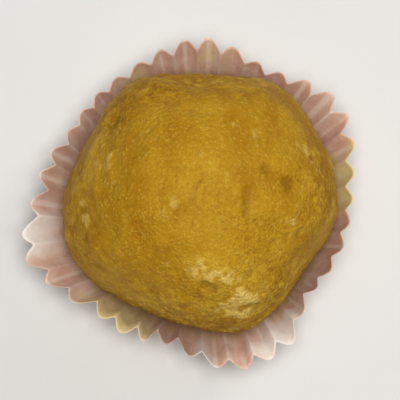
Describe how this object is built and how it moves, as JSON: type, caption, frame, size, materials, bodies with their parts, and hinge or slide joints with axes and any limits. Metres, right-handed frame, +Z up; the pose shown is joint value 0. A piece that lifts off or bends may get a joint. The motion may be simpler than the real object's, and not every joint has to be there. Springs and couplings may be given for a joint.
{
  "type": "besan ladoo",
  "caption": "Round gram-flour sweet resting in a pleated paper case, free-standing on the flat base of the case.",
  "frame": {"origin": "middle of the case's flat base, on the surface that it stands on", "axes": "+Z up, out of the top of the ladoo; -Y towards the viewer, +X to the viewer's right"},
  "size_m": [0.0545, 0.0547, 0.042],
  "materials": {
    "ladoo": "golden roasted gram flour bound with ghee and sugar: satin, slightly sandy, with paler grains",
    "paper": "thin pale pink greaseproof paper, waxy and faintly see-through, with grease marks"
  },
  "bodies": {
    "root": {"ladoo": "ladoo", "paper_case": "paper"}
  },
  "joints": []
}
